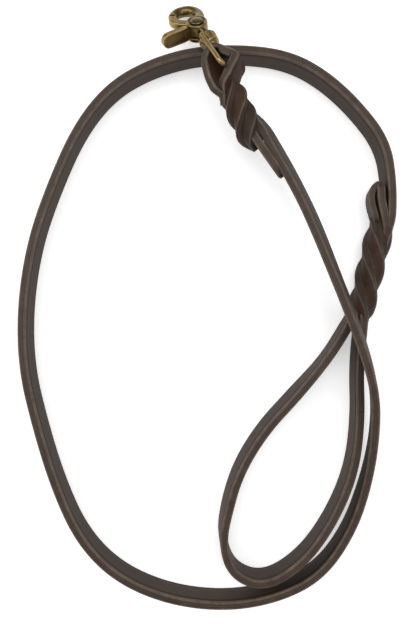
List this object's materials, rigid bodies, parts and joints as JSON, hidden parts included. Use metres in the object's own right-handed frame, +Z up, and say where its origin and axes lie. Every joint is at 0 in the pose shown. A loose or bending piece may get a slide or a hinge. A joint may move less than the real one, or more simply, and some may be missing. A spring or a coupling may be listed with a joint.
{
  "type": "braided leather lead with swivel trigger snap",
  "caption": "Flat leather lead strap, slit-braided at both ends, with a hand loop at one end and a brass swivel trigger snap at the other.",
  "frame": {"origin": "middle of the laid-out lead on the floor under it", "axes": "+Z up from the floor, +Y from the hand loop towards the snap, +X to the side of the handle braid"},
  "size_m": [0.2313, 0.3684, 0.0445],
  "materials": {
    "strap_leather": "oiled, burnished edges",
    "antique_brass": "antiqued, dark in the hollows, rubbed on the high spots",
    "spring_steel": "plain wire"
  },
  "bodies": {
    "lead": {"lead_strap_top": "strap_leather", "lead_strap_under_snap": "strap_leather", "lead_strap_main": "strap_leather", "hand_loop": "strap_leather", "handle_tail": "strap_leather", "snap_tail": "strap_leather", "snap_fold": "strap_leather", "handle_braid_strand_1": "strap_leather", "handle_braid_strand_2": "strap_leather", "handle_braid_strand_3": "strap_leather", "handle_braid_strand_4": "strap_leather", "snap_braid_strand_1": "strap_leather", "snap_braid_strand_2": "strap_leather", "snap_braid_strand_3": "strap_leather", "snap_braid_strand_4": "strap_leather"},
    "eye": {"swivel_eye": "antique_brass"},
    "snap_hook": {"hook": "antique_brass", "rivet": "antique_brass", "gate_spring": "spring_steel"},
    "trigger": {"gate": "antique_brass"}
  },
  "joints": [
    {"name": "eye_swing", "type": "hinge", "parent": "lead", "child": "eye", "pos_m": [0.0127, 0.1314, 0.0328], "axis": [-0.4563, -0.077, 0.8865], "range_deg": [-25, 2]},
    {"name": "snap_swivel", "type": "hinge", "parent": "eye", "child": "snap_hook", "pos_m": [-0.0077, 0.1651, 0.0178], "axis": [-0.469, 0.7065, -0.53], "continuous": true, "deforming": ["lead_strap_under_snap"]},
    {"name": "gate_open", "type": "hinge", "parent": "snap_hook", "child": "trigger", "pos_m": [-0.0077, 0.1651, 0.0178], "axis": [-0.0675, 0.5696, 0.8191], "range_deg": [0, 32], "stiffness_Nm_per_rad": 0.02, "springref_deg": -28.65, "deforming": ["gate_spring"]}
  ]
}
